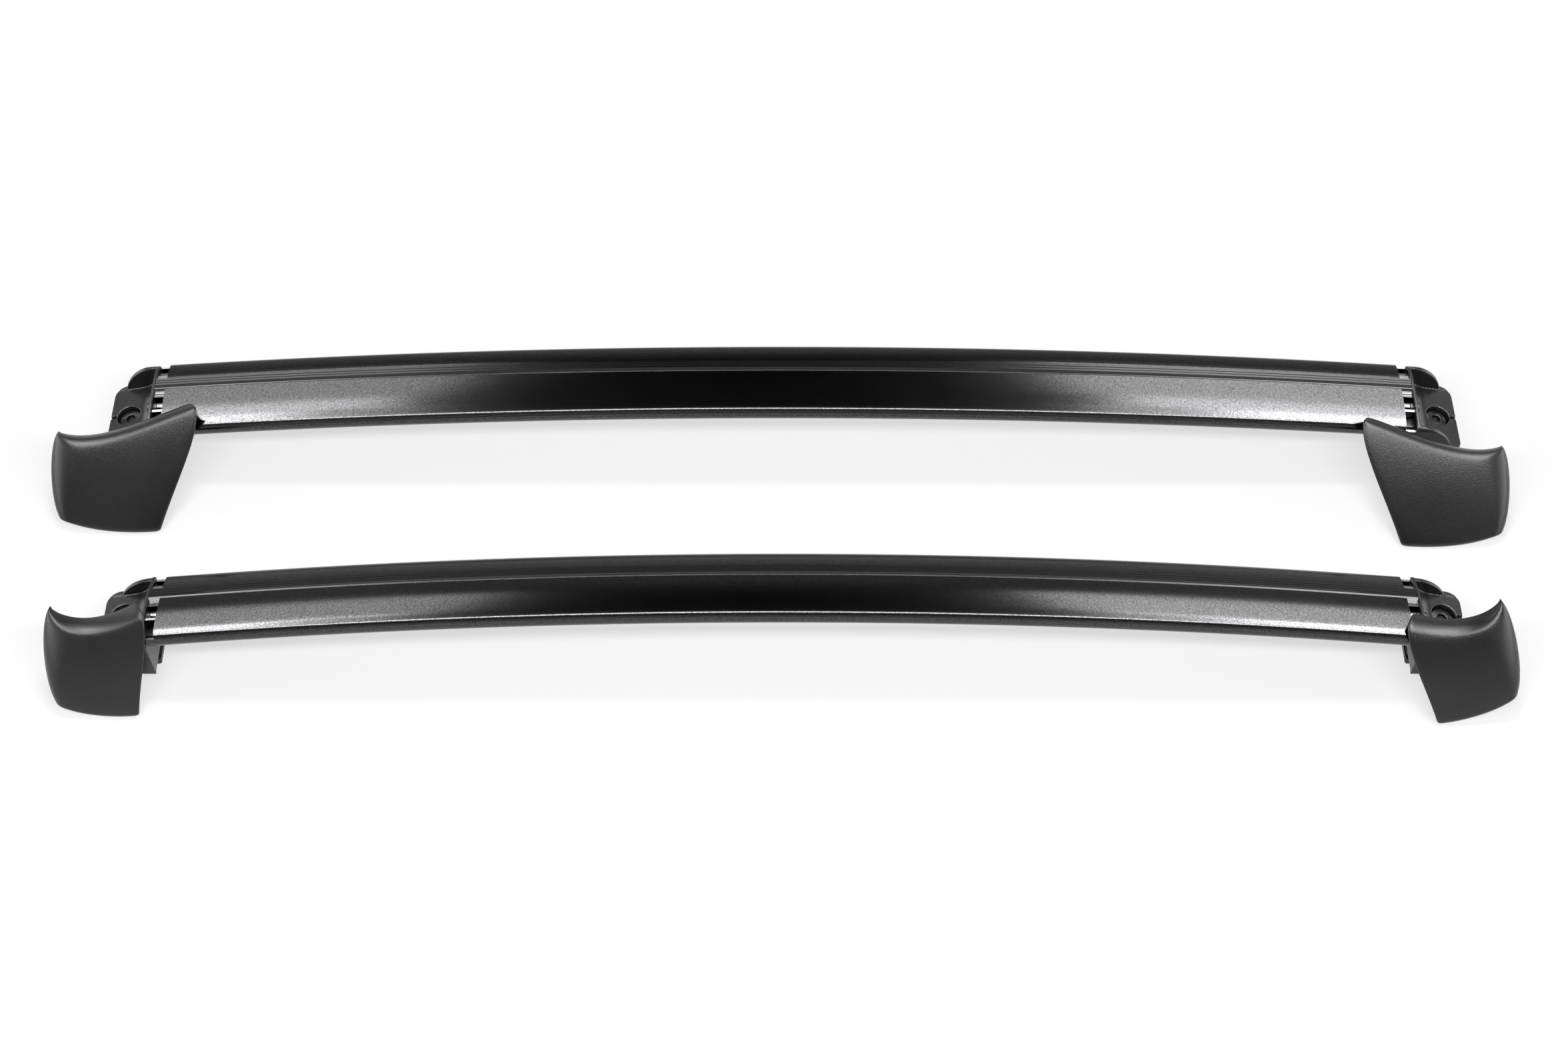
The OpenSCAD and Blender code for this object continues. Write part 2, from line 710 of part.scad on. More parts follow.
module rail_pad(b, side) {
    w = foot_w - 2 * pad_in;
    color(rubber) at_end(b, side)
        translate([jaw_x - pad_free - pad_l, -w / 2, seat_of(b) - seat_gap - pad_t])
            cube([pad_l, w, pad_t]);
}

module toe_pad(b, side) {
    w = jaw_w - 2 * pad_in;
    color(rubber) at_end(b, side)
        translate([jaw_x - toe_bevel - pad_free - toe_pad_l, bolt_y_of(b) - w / 2,
            ground(b) + toe_t + seat_gap]) cube([toe_pad_l, w, toe_pad_t]);
}

// Covers are drawn as a face in X and Y with Z outward, inner edge at left and rim on top

function bez(p, t) = (1 - t) * (1 - t) * (1 - t) * p[0] + 3 * (1 - t) * (1 - t) * t * p[1]
    + 3 * (1 - t) * t * t * p[2] + t * t * t * p[3];

// Shares of a cover's length or height at which the two middle points of an edge curve lie
hem_pull = [0.24, 0.8];
rim_pull = [0.35, 0.72];
inner_pull = [0.38, 0.855];
outer_pull = [0.3, 0.88];
// Share of its way out that is left to the inner edge at its first middle point
lean_pull = 0.6;

// The four edge curves of a cover, from its length, its heights, its lean and its rim's dip
function hem(l, lean_in) = [[lean_in, hem_in_h], [lean_in + l * hem_pull[0], -hem_sag],
    [l * hem_pull[1], 0], [l, hem_out_h]];
function rim(l, h, tip, dip) = [[corner_in, h], [l * rim_pull[0], h - rim_sag],
    [l * rim_pull[1], tip - dip], [l, tip]];
function inner_edge(h, lean_in) = [[lean_in, hem_in_h],
    [lean_in * lean_pull, h * inner_pull[0]], [-inner_bow, h * inner_pull[1]], [corner_in, h]];
function outer_edge(l, tip) = [[l, hem_out_h], [l + outer_bow, tip * outer_pull[0]],
    [l + outer_bow, tip * outer_pull[1]], [l, tip]];

// A point of the patch between the four curves
function patch(e, u, v) = let (hm = e[0], rm = e[1], nr = e[2], fr = e[3])
    (1 - v) * bez(hm, u) + v * bez(rm, u) + (1 - u) * bez(nr, v) + u * bez(fr, v)
    - ((1 - u) * (1 - v) * hm[0] + u * (1 - v) * hm[3] + (1 - u) * v * rm[0] + u * v * rm[3]);

// Angles of a quarter roll taken in n steps
function roll_steps(n) = [for (i = [0 : n]) i * 90 / n];
function lerp(a, b, q) = a + (b - a) * q;

hem_steps = 3;
rim_steps = 7;
end_steps = 7;
face_rows = 8;
face_columns = 9;

// Rows from the hem to the rim: share of the height, millimetres added, radius of the roll it
// lies on, how far it is rolled over, and the depth of a straight wall below that
function rows(t) = concat(
    [[0, t, hem_r, 1, hem_skirt]],
    [for (a = roll_steps(hem_steps)) [0, t + (hem_r - t) * (1 - cos(a)), hem_r, 1 - sin(a), 0]],
    [for (i = [1 : face_rows]) let (q = i / (face_rows + 1))
        [q, (1 - q) * hem_r - q * rim_r, rim_r, 0, 0]],
    [for (i = [rim_steps : -1 : 0]) let (a = i * 90 / rim_steps)
        [1, -t - (rim_r - t) * (1 - cos(a)), rim_r, 1 - sin(a), 0]],
    [[1, -t, rim_r, 1, rim_depth - rim_r]]);

// Columns from the inner edge to the outer end: share of the length and angle on the end's roll
function columns() = concat(
    [for (i = [0 : face_columns]) [i / face_columns, 90]],
    [for (i = [end_steps - 1 : -1 : 0]) [1, i * 90 / end_steps]]);

// Length and depth of the outer end's roll, small at the hem and full at the rim
function end_roll(v) = lerp(end_low_r, end_r, v * v * (3 - 2 * v));
function end_drop(v) = lerp(end_low_t, end_t, v);

// Shares of the bulge and of the straight wall behind a roll that are gone at the outer end
bulge_fade = 0.6;
wall_fade = 0.7;
// Fall of the rim beside its inner end, to each millimetre along it
rim_fall = rim_sag / (rear_cover_l * rim_pull[0] - corner_in);

// Height of the face at a share v of its height and u of its length
function face_z(bulge, u, v) = bulge * (1 - pow(2 * v - 1, 2)) * (1 - bulge_fade * u * u);

// Depth where two rolled edges meet, from the depth of each
function both(a, b) = pow(pow(a, 3) + pow(b, 3), 1 / 3);

// One vertex of a cover's skin, offset inward by t
function cover_point(e, bulge, t, row, col) =
    let (height = norm(bez(e[1], col[0]) - bez(e[0], col[0])),
        v = row[0] + row[1] / height,
        roll = end_roll(v),
        width = norm(bez(e[3], v) - bez(e[2], v)),
        inset = t + (roll - t) * (1 - cos(col[1])),
        u = col[0] == 1 ? 1 - inset / width : col[0] * (1 - roll / width),
        p = patch(e, u, v),
        s = row[4] > 0 ? 0 : t,
        drop = both((row[2] - s) * row[3], (end_drop(v) - s) * (1 - sin(col[1])))
            + row[4] * (1 - wall_fade * u * u),
        cut = corner_cut * drop / rim_depth * (1 - u) * (1 - u))
    [p.x + cut, p.y - cut * rim_fall * v, face_z(bulge, u, v) - s - drop];

function cover_skin(e, bulge, t) =
    [for (row = rows(t)) for (col = columns()) cover_point(e, bulge, t, row, col)];

// A shell from a skin, its offset copy and the strips that join their edges
module shell(outer, inner, nr, nc) {
    n = nr * nc;
    quads_out = [for (j = [0 : nr - 2]) for (i = [0 : nc - 2])
        let (a = j * nc + i) each [[a, a + nc, a + 1], [a + 1, a + nc, a + nc + 1]]];
    quads_in = [for (f = quads_out) [f[0] + n, f[2] + n, f[1] + n]];
    edge = concat([for (i = [0 : nc - 1]) i], [for (j = [1 : nr - 1]) j * nc + nc - 1],
        [for (i = [nc - 2 : -1 : 0]) (nr - 1) * nc + i], [for (j = [nr - 2 : -1 : 1]) j * nc]);
    strip = [for (k = [0 : len(edge) - 1]) let (a = edge[k], b = edge[(k + 1) % len(edge)])
        each [[a, b, b + n], [a, b + n, a + n]]];
    polyhedron(points = concat(outer, inner), faces = concat(quads_out, quads_in, strip));
}

function edges_of(l, h, tip, dip, lean_in) =
    [hem(l, lean_in), rim(l, h, tip, dip), inner_edge(h, lean_in), outer_edge(l, tip)];
function cover_edges(b) = is_rear(b)
    ? edges_of(rear_cover_l, rear_cover_h, rear_tip_h, rear_dip, rear_lean_in)
    : edges_of(front_cover_l, front_cover_h, front_tip_h, front_dip, front_lean_in);
function bulge_of(b) = is_rear(b) ? rear_bulge : front_bulge;

module cover_shape(b) {
    skin = cover_skin(cover_edges(b), bulge_of(b), 0);
    lining = cover_skin(cover_edges(b), bulge_of(b), cover_t);
    shell(skin, lining, len(rows(0)), len(columns()));
}

function cover_lean(b, side) = is_rear(b)
    ? (side == "left" ? rear_left_lean : rear_right_lean)
    : (side == "left" ? front_left_lean : front_right_lean);
function cover_x(b, side) = end_x(b) - (is_rear(b)
    ? (side == "left" ? rear_left_in : rear_right_in)
    : (side == "left" ? front_left_in : -front_right_past));
function cover_out(b, side) = is_rear(b)
    ? (side == "left" ? rear_left_out : rear_right_out)
    : (side == "left" ? front_left_out : front_right_out);
function cover_turn(b, side) = !is_rear(b) && side == "right" ? front_right_turn : 0;

// Height of a point of a leaning cover over the cover's own frame
function leaning(p, lean, turn) =
    (p.x * sin(turn) + p.y * cos(turn)) * cos(lean) + p.z * sin(lean);

// Height of a cover's frame over the table, at which its lowest point just clears the table
function cover_up(b, side) = rest_gap - min([for (t = [0, cover_t])
    for (p = cover_skin(cover_edges(b), bulge_of(b), t))
        leaning(p, cover_lean(b, side), cover_turn(b, side))]);

module end_cover(b, side) {
    color(moulding) mirror([side == "left" ? 1 : 0, 0, 0])
        translate([cover_x(b, side), y_of(b) - cover_out(b, side), cover_up(b, side)])
            rotate([90 - cover_lean(b, side), 0, 0]) rotate([0, 0, cover_turn(b, side)])
                cover_shape(b);
}

for (b = bars) {
    bar(b);
    slot_strip(b);
    for (s = sides) {
        foot = str(b, "_", s, "_");
        bracket(b, s);
        bracket_screw(b, s);
        clamp_bolt(b, s);
        bolt_washer(b, s);
        clamp_jaw(b, s);
        clamp_nut(b, s);
        rail_pad(b, s);
        toe_pad(b, s);
        end_cover(b, s);
    }
}
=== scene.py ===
import math

import bmesh
import bpy
from mathutils import Matrix, Vector


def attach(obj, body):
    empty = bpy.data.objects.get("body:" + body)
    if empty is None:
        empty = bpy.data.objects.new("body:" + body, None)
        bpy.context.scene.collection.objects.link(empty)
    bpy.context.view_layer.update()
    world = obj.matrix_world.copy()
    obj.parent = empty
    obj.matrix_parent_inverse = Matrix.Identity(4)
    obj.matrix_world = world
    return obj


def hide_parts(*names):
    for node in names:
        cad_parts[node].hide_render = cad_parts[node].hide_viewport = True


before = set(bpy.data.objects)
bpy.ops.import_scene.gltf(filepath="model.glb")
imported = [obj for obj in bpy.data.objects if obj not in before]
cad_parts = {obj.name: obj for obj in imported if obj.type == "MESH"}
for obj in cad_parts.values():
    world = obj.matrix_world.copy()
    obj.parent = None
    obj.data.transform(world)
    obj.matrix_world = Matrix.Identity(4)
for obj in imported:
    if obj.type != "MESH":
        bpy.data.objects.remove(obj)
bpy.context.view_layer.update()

mm = 0.001
collection = bpy.context.scene.collection


class Wire:
    # one output socket: arithmetic on it adds Math nodes, and node() adds any other node
    def __init__(self, tree, socket):
        self.tree = tree
        self.socket = socket

    @staticmethod
    def node(tree, kind, settings=None, inputs=None, output=0):
        made = tree.nodes.new(kind)
        for name, value in (settings or {}).items():
            if name == "stops":
                ramp = made.color_ramp
                while len(ramp.elements) < len(value):
                    ramp.elements.new(1)
                for element, (place, shade) in zip(ramp.elements, value):
                    element.position = place
                    element.color = (shade, shade, shade, 1)
            else:
                setattr(made, name, value)
        for name, value in (inputs or {}).items():
            if isinstance(value, Wire):
                tree.links.new(value.socket, made.inputs[name])
            else:
                made.inputs[name].default_value = value
        return Wire(tree, made.outputs[output] if made.outputs else None)

    def other(self, name):
        # another output of the same node
        return Wire(self.tree, self.socket.node.outputs[name])

    def maths(self, operation, *values):
        return Wire.node(self.tree, "ShaderNodeMath", {"operation": operation},
                         dict(enumerate(values)))

    def __add__(self, other):
        return self.maths("ADD", self, other)

    def __radd__(self, other):
        return self.maths("ADD", other, self)

    def __sub__(self, other):
        return self.maths("SUBTRACT", self, other)

    def __rsub__(self, other):
        return self.maths("SUBTRACT", other, self)

    def __mul__(self, other):
        return self.maths("MULTIPLY", self, other)

    def __rmul__(self, other):
        return self.maths("MULTIPLY", other, self)

    def __truediv__(self, other):
        return self.maths("DIVIDE", self, other)

    def __rtruediv__(self, other):
        return self.maths("DIVIDE", other, self)

    def __abs__(self):
        return self.maths("ABSOLUTE", self)

    def sine(self):
        return self.maths("SINE", self)

    def cosine(self):
        return self.maths("COSINE", self)


# Materials: shades are linear, and sizes are in metres

def newMaterial(name):
    material = bpy.data.materials.new(name)
    material.use_nodes = True
    material.node_tree.nodes.clear()
    return material, material.node_tree


def position(tree):
    return Wire.node(tree, "ShaderNodeTexCoord", output="Object")


def noise(tree, place, size, detail=2.0, roughness=0.5):
    # a value round 0.5 that varies over about the given size
    return Wire.node(tree, "ShaderNodeTexNoise", {}, {
        "Vector": place, "Scale": 1 / size, "Detail": detail, "Roughness": roughness})


def ramp(tree, value, stops):
    return Wire.node(tree, "ShaderNodeValToRGB", {"stops": stops}, {"Fac": value})


def bump(tree, height, strength, distance):
    return Wire.node(tree, "ShaderNodeBump", {}, {
        "Strength": strength, "Distance": distance, "Height": height})


def grey(tree, shade, tint):
    # a colour of the given tint whose brightness is a socket; inputs 0, 6 and 7 of a colour
    # mix are its factor and its two colours
    return Wire.node(tree, "ShaderNodeMix", {"data_type": "RGBA", "blend_type": "MULTIPLY"},
                     {0: 1.0, 6: shade, 7: (*tint, 1)}, output=2)


def finishMaterial(tree, values):
    shader = Wire.node(tree, "ShaderNodeBsdfPrincipled", {}, values)
    Wire.node(tree, "ShaderNodeOutputMaterial", {}, {"Surface": shader})


# "bare" marks milled metal on a bar's mesh; lineStretch draws the cutter's lines out
coatLook = {"shade": 0.066, "shadeVary": 1.9, "tint": (1, 1, 1.02), "rough": 0.16,
            "roughVary": 0.02, "speckSize": 0.0011, "cloudSize": 0.04, "bump": 0.2,
            "bumpDepth": 0.00002}
milledLook = {"shade": 0.36, "shadeVary": 0.25, "rough": 0.3, "roughVary": 0.2,
              "lineSize": 0.0006, "lineStretch": (1, 0.08, 0.3)}


def barCoat():
    # black coat with a fine bright speck, and bare metal where the attribute says it was milled
    coat, milled = coatLook, milledLook
    material, tree = newMaterial("barCoat")
    place = position(tree)
    bare = Wire.node(tree, "ShaderNodeAttribute", {"attribute_name": "bare"}, output="Fac")
    specks = noise(tree, place, coat["speckSize"])
    clouds = noise(tree, place, coat["cloudSize"], detail=3.0)
    stretched = Wire.node(tree, "ShaderNodeMapping", {}, {
        "Vector": place, "Scale": milled["lineStretch"]})
    lines = noise(tree, stretched, milled["lineSize"])
    coatShade = coat["shade"] * (1 + (specks - 0.5) * coat["shadeVary"])
    coatRough = coat["rough"] + (clouds - 0.5) * coat["roughVary"]
    milledShade = milled["shade"] + (lines - 0.5) * milled["shadeVary"]
    milledRough = milled["rough"] + (lines - 0.5) * milled["roughVary"]
    finishMaterial(tree, {
        "Base Color": grey(tree, coatShade * (1 - bare) + milledShade * bare, coat["tint"]),
        "Metallic": 1.0, "Roughness": coatRough * (1 - bare) + milledRough * bare,
        "Normal": bump(tree, specks * (1 - bare) + lines * bare, coat["bump"],
                       coat["bumpDepth"])})
    return material


# shine is the specular level, and grain the size of the finest marks
plainLooks = {
    "coverPlastic": {"shade": 0.006, "shadeVary": 1.2, "tint": (1, 1, 1.03), "rough": 0.32,
                     "shine": 0.42, "metallic": 0.0, "grain": 0.0011, "bump": 0.4},
    "stripRubber": {"shade": 0.002, "shadeVary": 0.3, "tint": (1, 1, 1.03), "rough": 0.2,
                    "shine": 0.6, "metallic": 0.0, "grain": 0.0005, "bump": 0.1},
    "casting": {"shade": 0.008, "shadeVary": 1.2, "tint": (1, 1, 1.02), "rough": 0.27,
                "shine": 0.5, "metallic": 0.0, "grain": 0.0009, "bump": 0.4},
    "boltSteel": {"shade": 0.04, "shadeVary": 0.3, "tint": (1, 1, 1), "rough": 0.35,
                  "shine": 0.5, "metallic": 0.9, "grain": 0.0006, "bump": 0.3},
    "zinc": {"shade": 0.55, "shadeVary": 0.3, "tint": (1, 1, 0.97), "rough": 0.3,
             "shine": 0.5, "metallic": 1.0, "grain": 0.0006, "bump": 0.2},
    "padRubber": {"shade": 0.02, "shadeVary": 0.3, "tint": (1, 1, 1), "rough": 0.75,
                  "shine": 0.5, "metallic": 0.0, "grain": 0.0006, "bump": 0.5},
}
plainCommon = {"roughVary": 0.08, "cloudsToGrain": 40, "depthToGrain": 0.3}


def plainFinish(name):
    # a finish whose shade and roughness wander over a fine grain and a wider cloud
    look, common = plainLooks[name], plainCommon
    material, tree = newMaterial(name)
    place = position(tree)
    fine = noise(tree, place, look["grain"], detail=3.0, roughness=0.6)
    clouds = noise(tree, place, look["grain"] * common["cloudsToGrain"])
    vary = 1 + (fine - 0.5) * look["shadeVary"] + (clouds - 0.5) * look["shadeVary"]
    finishMaterial(tree, {
        "Base Color": grey(tree, vary * look["shade"], look["tint"]),
        "Metallic": look["metallic"], "Specular IOR Level": look["shine"],
        "Roughness": look["rough"] + (clouds - 0.5) * common["roughVary"],
        "Normal": bump(tree, fine, look["bump"], look["grain"] * common["depthToGrain"])})
    return material


finishes = {name: plainFinish(name) for name in plainLooks}
finishes["barCoat"] = barCoat()
print("materials made")


# Pieces taken from the CAD nodes: their sizes are in millimetres and degrees

mergeDistance = 0.002


def addPiece(name, mesh, material, nodes):
    piece = bpy.data.objects.new(name, mesh)
    collection.objects.link(piece)
    piece.data.materials.clear()
    piece.data.materials.append(finishes[material])
    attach(piece, "root")
    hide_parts(*nodes)


def mergedCopy(node):
    # a copy of a CAD node's mesh with its loose triangles joined
    made = bmesh.new()
    made.from_mesh(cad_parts[node].data)
    bmesh.ops.remove_doubles(made, verts=made.verts, dist=mergeDistance * mm)
    return made


def flatFacesJoined(made, degrees, **settings):
    # takes away the edges between faces that lie in one plane
    bmesh.ops.dissolve_limit(made, angle_limit=math.radians(degrees), verts=made.verts,
                             edges=made.edges, **settings)


def meshFrom(made, name):
    mesh = bpy.data.meshes.new(name)
    made.to_mesh(mesh)
    made.free()
    return mesh


def smoothByAngle(mesh, degrees):
    mesh.shade_smooth()
    mesh.set_sharp_from_angle(angle=math.radians(degrees))


def holderOf(mesh):
    # an object that carries a mesh while modifiers run on it
    holder = bpy.data.objects.new("holder", mesh)
    collection.objects.link(holder)
    return holder


def bakedMesh(holder):
    # the holder's mesh with its modifiers applied; the holder itself goes
    graph = bpy.context.evaluated_depsgraph_get()
    mesh = bpy.data.meshes.new_from_object(holder.evaluated_get(graph), depsgraph=graph)
    holder.modifiers.clear()
    bpy.data.objects.remove(holder)
    return mesh


def withModifiers(mesh, steps):
    # runs modifiers on a mesh one after the other
    holder = holderOf(mesh)
    for kind, settings in steps:
        modifier = holder.modifiers.new(kind, kind)
        for name, value in settings.items():
            setattr(modifier, name, value)
    return bakedMesh(holder)


def withTree(mesh, tree, values):
    # runs a Geometry Nodes tree on a mesh, with its named inputs set by their identifiers
    holder = holderOf(mesh)
    modifier = holder.modifiers.new("nodes", "NODES")
    modifier.node_group = tree
    for item in tree.interface.items_tree:
        if item.item_type == "SOCKET" and item.in_out == "INPUT" and item.name in values:
            modifier[item.identifier] = values[item.name]
    return bakedMesh(holder)


# Bars: each is straightened, cut across at even stations, and rolled up again along its arch

# the wing section's depth, the crest's height over its middle, the slot's middle from the nose,
# the nose's middle from the crest, and the milled step's height over that
section = {"chord": 64.8, "middle": 10, "slotMiddle": 40.5, "noseMiddle": -9.5, "milledUp": 2}
# half of the skin's straight length, the arch's rise, the pitch with the nose up, the place of
# the section's middle, and the length of the milled end
arches = {
    "rear": {"half": 447.5, "rise": 19.4, "tilt": 0, "across": 111, "up": 70, "milled": 8},
    "front": {"half": 425.3, "rise": 20.6, "tilt": 11.5, "across": -79, "up": 70, "milled": 8},
}
barShape = {"station": 4, "cutMargin": 0.01, "flatAngle": 0.4, "sharpAngle": 24}


def archRadius(arch):
    return (arch["half"] ** 2 + arch["rise"] ** 2) / (2 * arch["rise"])


def skinHalf(arch):
    # length along the crest from the middle to the end of the skin
    return archRadius(arch) * math.asin(arch["half"] / archRadius(arch))


def barFrame(arch):
    # from a bar's own frame, with its nose at the origin, to its place above the table
    return (Matrix.Translation((0, arch["across"] * mm, arch["up"] * mm))
            @ Matrix.Rotation(math.radians(-arch["tilt"]), 4, "X")
            @ Matrix.Translation((0, -section["chord"] / 2 * mm, section["middle"] * mm)))


def unroll(made, arch):
    # straightens the arch: X becomes the length along the crest and Z the height over it
    radius = archRadius(arch) * mm
    back = barFrame(arch).inverted()
    for vertex in made.verts:
        place = back @ vertex.co
        angle = math.atan2(place.x, place.z + radius)
        height = math.hypot(place.x, place.z + radius) - radius
        vertex.co = (angle * radius, place.y, height)
    made.normal_update()


# how far past the milled step a face may begin, and how squarely it must face up or outwards
milling = {"edgeMargin": 0.05, "floorMargin": 0.1, "upFacing": 0.3, "endFacing": 0.7}


def markBare(made, arch):
    # the faces at both ends that the milling laid bare
    layer = made.faces.layers.float.new("bare")
    edge = (skinHalf(arch) - milling["edgeMargin"]) * mm
    floor = (section["noseMiddle"] + section["milledUp"] - milling["floorMargin"]) * mm
    for face in made.faces:
        middle = face.calc_center_median()
        up = face.normal.z > milling["upFacing"]
        step = abs(face.normal.x) > milling["endFacing"]
        if abs(middle.x) > edge and middle.z > floor and (up or step):
            face[layer] = 1.0


def cutAcross(made, arch):
    # the flat strips are joined first, so that no diagonal leaves a corner inside one
    flatFacesJoined(made, barShape["flatAngle"], delimit={"NORMAL"})
    reach = skinHalf(arch) + arch["milled"]
    count = round(2 * reach / barShape["station"])
    for i in range(1, count):
        x = (-reach + 2 * reach * i / count) * mm
        geometry = list(made.verts) + list(made.edges) + list(made.faces)
        bmesh.ops.bisect_plane(made, geom=geometry, dist=barShape["cutMargin"] * mm,
                               plane_co=(x, 0, 0), plane_no=(1, 0, 0))


def newTree(name, sizes):
    # a Geometry Nodes tree with one geometry input and the given named numbers
    tree = bpy.data.node_groups.new(name, "GeometryNodeTree")
    tree.interface.new_socket("Geometry", in_out="INPUT", socket_type="NodeSocketGeometry")
    for size, kind in sizes.items():
        tree.interface.new_socket(size, in_out="INPUT", socket_type=kind)
    tree.interface.new_socket("Geometry", in_out="OUTPUT", socket_type="NodeSocketGeometry")
    given = Wire.node(tree, "NodeGroupInput", output="Geometry")
    return tree, {name: given.other(name) for name in ("Geometry", *sizes)}


def closeTree(tree, geometry, material):
    real = Wire.node(tree, "GeometryNodeRealizeInstances", {}, {0: geometry})
    painted = Wire.node(tree, "GeometryNodeSetMaterial", {}, {
        "Geometry": real, "Material": finishes[material]})
    Wire.node(tree, "NodeGroupOutput", {}, {"Geometry": painted})
    return tree


archSizes = dict.fromkeys(("Radius", "Chord", "Middle", "Tilt", "Across", "Up"),
                          "NodeSocketFloat")


def archValues(arch):
    return {"Radius": archRadius(arch) * mm, "Chord": section["chord"] * mm,
            "Middle": section["middle"] * mm, "Tilt": math.radians(arch["tilt"]),
            "Across": arch["across"] * mm, "Up": arch["up"] * mm}


def vector(tree, x=0.0, y=0.0, z=0.0):
    return Wire.node(tree, "ShaderNodeCombineXYZ", {}, {0: x, 1: y, 2: z})


def rolledUp(tree, sizes, geometry):
    # bends what lies straight along X round the arch, and lays it at its place
    place = Wire.node(tree, "GeometryNodeInputPosition")
    along = Wire.node(tree, "ShaderNodeSeparateXYZ", {}, {0: place}, output="X")
    across, height = along.other("Y"), along.other("Z")
    angle = along / sizes["Radius"]
    depth = sizes["Radius"] + height
    bent = vector(tree, depth * angle.sine(), across - sizes["Chord"] * 0.5,
                  depth * angle.cosine() - sizes["Radius"] + sizes["Middle"])
    rolled = Wire.node(tree, "GeometryNodeSetPosition", {}, {
        "Geometry": geometry, "Position": bent})
    return Wire.node(tree, "GeometryNodeTransform", {}, {
        "Geometry": rolled, "Translation": vector(tree, y=sizes["Across"], z=sizes["Up"]),
        "Rotation": vector(tree, x=sizes["Tilt"] * -1)})


def archTree(name, material):
    tree, sizes = newTree(name, archSizes)
    return closeTree(tree, rolledUp(tree, sizes, sizes["Geometry"]), material)


def archedPiece(node, arch, tree, material):
    made = mergedCopy(node)
    unroll(made, arch)
    markBare(made, arch)
    cutAcross(made, arch)
    mesh = withTree(meshFrom(made, node), tree, archValues(arch))
    smoothByAngle(mesh, barShape["sharpAngle"])
    addPiece(node + "_piece", mesh, material, [node])


barTree = archTree("rolledBar", "barCoat")
stripTree = archTree("rolledStrip", "stripRubber")
for end, arch in arches.items():
    archedPiece(end + "_bar", arch, barTree, "barCoat")
    archedPiece(end + "_slot_strip", arch, stripTree, "stripRubber")
print("bars and strips rolled up")

# "first" is where the first rib lies from the slot's middle, and "height" is over the crest
ribShape = {"count": 4, "pitch": 2.25, "first": -2.78, "radius": 0.32, "height": -0.1,
            "stations": 240, "sides": 8, "short": 0.6}


def ribTree():
    # fine ribs side by side along the strip's top
    tree, sizes = newTree("stripRibs", {
        **archSizes, "Half Length": "NodeSocketFloat", "Rib Radius": "NodeSocketFloat",
        "First Across": "NodeSocketFloat", "Pitch": "NodeSocketFloat",
        "Height": "NodeSocketFloat", "Count": "NodeSocketInt", "Stations": "NodeSocketInt",
        "Sides": "NodeSocketInt"})
    line = Wire.node(tree, "GeometryNodeCurvePrimitiveLine", {}, {
        "Start": vector(tree, x=sizes["Half Length"] * -1),
        "End": vector(tree, x=sizes["Half Length"])})
    stations = Wire.node(tree, "GeometryNodeResampleCurve", {}, {
        "Curve": line, "Count": sizes["Stations"]})
    outline = Wire.node(tree, "GeometryNodeCurvePrimitiveCircle", {}, {
        "Resolution": sizes["Sides"], "Radius": sizes["Rib Radius"]})
    rib = Wire.node(tree, "GeometryNodeCurveToMesh", {}, {
        "Curve": stations, "Profile Curve": outline, "Fill Caps": True})
    row = Wire.node(tree, "GeometryNodeMeshLine", {}, {
        "Count": sizes["Count"], "Offset": vector(tree, y=sizes["Pitch"]),
        "Start Location": vector(tree, y=sizes["First Across"], z=sizes["Height"])})
    placed = Wire.node(tree, "GeometryNodeInstanceOnPoints", {}, {
        "Points": row, "Instance": rib})
    real = Wire.node(tree, "GeometryNodeRealizeInstances", {}, {0: placed})
    return closeTree(tree, rolledUp(tree, sizes, real), "stripRubber")


def stripRibs(end, arch, tree):
    shape = ribShape
    reach = skinHalf(arch) + arch["milled"] - shape["short"]
    mesh = withTree(bpy.data.meshes.new("ribs"), tree, {
        **archValues(arch), "Half Length": reach * mm, "Rib Radius": shape["radius"] * mm,
        "First Across": (section["slotMiddle"] + shape["first"]) * mm,
        "Pitch": shape["pitch"] * mm, "Height": shape["height"] * mm,
        "Count": shape["count"], "Stations": shape["stations"], "Sides": shape["sides"]})
    mesh.shade_smooth()
    addPiece(end + "_strip_ribs", mesh, "stripRubber", [end + "_slot_strip"])


ribsAlongStrip = ribTree()
for end, arch in arches.items():
    stripRibs(end, arch, ribsAlongStrip)
print("ribs laid along the strips")

# Hardware: each kind's finish, its slot in the record and the width of its broken edges

hardware = {
    "bracket_screw": ("boltSteel", "bolt_steel", 0.25),
    "clamp_bolt": ("boltSteel", "bolt_steel", 0.35),
    "bolt_washer": ("zinc", "zinc", 0.2),
    "clamp_jaw": ("casting", "casting", 0.6),
    "clamp_nut": ("zinc", "zinc", 0.3),
    "rail_pad": ("padRubber", "pad_rubber", 0.4),
    "toe_pad": ("padRubber", "pad_rubber", 0.25),
}
bevelShape = {"flatAngle": 1, "edgeAngle": 40, "segments": 2, "sharpAngle": 30}


def bevelledPiece(node, finish, slot, width):
    # the node's shape with its sharp edges broken
    made = mergedCopy(node)
    flatFacesJoined(made, bevelShape["flatAngle"])
    mesh = withModifiers(meshFrom(made, node), [("BEVEL", {
        "width": width * mm, "segments": bevelShape["segments"], "limit_method": "ANGLE",
        "angle_limit": math.radians(bevelShape["edgeAngle"]), "use_clamp_overlap": True})])
    smoothByAngle(mesh, bevelShape["sharpAngle"])
    addPiece(node + "_piece", mesh, finish, [node])


for node in sorted(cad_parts):
    for kind, values in hardware.items():
        if node.endswith(kind):
            bevelledPiece(node, *values)
print("hardware dressed")

bracketShape = {"voxel": 0.5, "smoothing": 4, "factor": 0.5}


